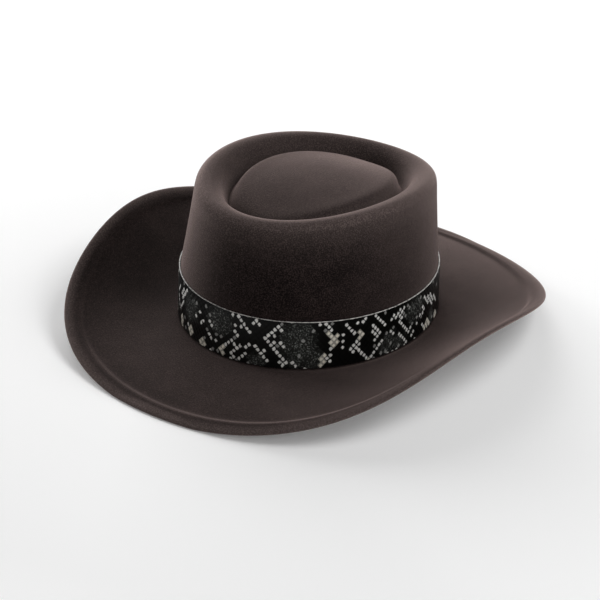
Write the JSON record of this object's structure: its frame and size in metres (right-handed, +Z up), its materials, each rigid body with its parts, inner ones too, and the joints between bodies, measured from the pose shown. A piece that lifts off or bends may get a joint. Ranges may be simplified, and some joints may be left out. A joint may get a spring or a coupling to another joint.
{
  "type": "felt hat with telescope crown",
  "caption": "Felt hat with a pinched-in flat crown top, a wide brim rolled up at the sides and a patterned leather band.",
  "frame": {"origin": "on the floor under the middle of the hat, where it rests by itself", "axes": "+Z up, -Y towards the front of the hat, +X towards the wearer's left"},
  "size_m": [0.303, 0.3682, 0.1123],
  "materials": {
    "felt": "brushed felt",
    "band_leather": "semi-gloss"
  },
  "bodies": {
    "root": {"hat_body": "felt", "hat_band": "band_leather"}
  },
  "joints": []
}
